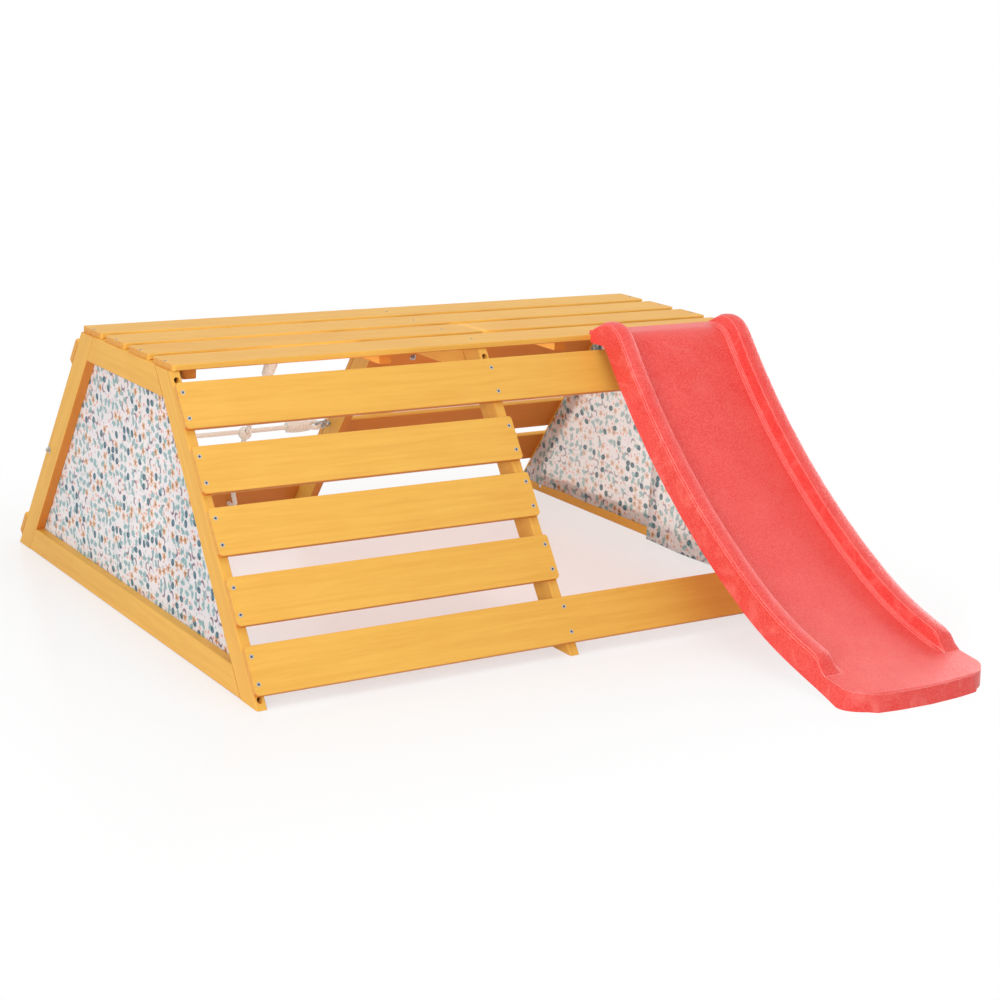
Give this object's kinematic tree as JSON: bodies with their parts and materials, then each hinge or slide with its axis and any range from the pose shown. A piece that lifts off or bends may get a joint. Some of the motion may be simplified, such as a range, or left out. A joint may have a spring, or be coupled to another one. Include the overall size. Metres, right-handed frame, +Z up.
{
  "type": "toddler climbing gym",
  "caption": "Low slatted-timber climbing gym with a ladder side, a moulded slide, a rope net, a wall of holds and cloth ends.",
  "frame": {"origin": "on the floor, under the middle of the whole gym with its slide", "axes": "+X along the gym, from the net and ladder end to the slide end; +Y from the slide's foot to the back; +Z up"},
  "size_m": [1.4486, 1.8133, 0.6206],
  "materials": {
    "timber": "satin",
    "slide_plastic": "glossy",
    "hold_plastic": "satin",
    "cloth": "matte",
    "rope": "matte",
    "rope_plastic": "satin",
    "zinc": "satin",
    "dark_steel": "satin"
  },
  "bodies": {
    "gym": {"left_front_leg": "timber", "left_back_leg": "timber", "left_top_rail": "timber", "left_bottom_rail": "timber", "mid_front_leg": "timber", "mid_back_leg": "timber", "mid_top_rail": "timber", "right_front_leg": "timber", "right_back_leg": "timber", "right_top_rail": "timber", "right_bottom_rail": "timber", "deck_slat_1": "timber", "deck_slat_2": "timber", "deck_slat_3": "timber", "deck_slat_4": "timber", "deck_cleat_1": "timber", "deck_cleat_2": "timber", "deck_cleat_3": "timber", "deck_cleat_4": "timber", "ladder_slat_1": "timber", "ladder_slat_2": "timber", "ladder_slat_3": "timber", "ladder_slat_4": "timber", "ladder_slat_5": "timber", "wall_board_1": "timber", "wall_board_2": "timber", "wall_board_3": "timber", "wall_board_4": "timber", "net_top_board": "timber", "net_bottom_board": "timber", "climbing_hold_1": "hold_plastic", "climbing_hold_2": "hold_plastic", "climbing_hold_3": "hold_plastic", "climbing_hold_4": "hold_plastic", "net_cross_rope": "rope", "net_drop_rope_1": "rope", "net_drop_rope_2": "rope", "rope_whippings": "rope_plastic", "net_clips": "rope_plastic", "eye_bolts": "zinc", "eye_bolt_nuts": "zinc", "shackles": "zinc", "left_cloth": "cloth", "right_rear_curtain": "cloth", "right_front_curtain": "cloth", "board_screws": "zinc", "deck_screws": "zinc", "cleat_screws": "zinc", "frame_bolts": "dark_steel", "barrel_nuts": "zinc", "hold_bolts": "zinc", "hold_nuts": "zinc"},
    "slide": {"slide": "slide_plastic"}
  },
  "joints": [
    {"name": "slide_lift", "type": "slide", "parent": "gym", "child": "slide", "axis": [0, 0, 1], "range_m": [0, 0.08]}
  ]
}
